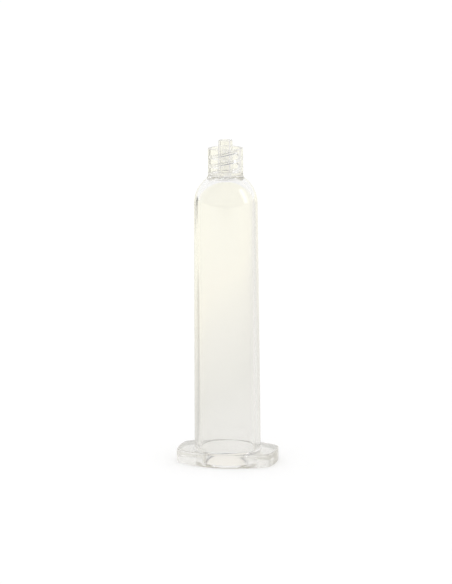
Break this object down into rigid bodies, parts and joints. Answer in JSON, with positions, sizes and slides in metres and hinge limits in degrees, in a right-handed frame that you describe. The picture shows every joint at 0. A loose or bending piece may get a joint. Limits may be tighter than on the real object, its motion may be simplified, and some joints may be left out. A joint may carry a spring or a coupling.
{
  "type": "empty spe cartridge",
  "caption": "Clear moulded syringe-barrel cartridge, empty, with an eared flange at its open end, a round shoulder and a threaded luer-lock collar around a tapered tip.",
  "frame": {"origin": "centre of the flange's flat face at the open end of the barrel, on which it stands", "axes": "+Z along the barrel's axis, from the flange towards the luer tip; +X through the two ears of the flange"},
  "size_m": [0.0286, 0.0194, 0.092],
  "materials": {
    "clear_plastic": "clear, smooth, very slightly cream"
  },
  "bodies": {
    "root": {"barrel": "clear_plastic"}
  },
  "joints": []
}
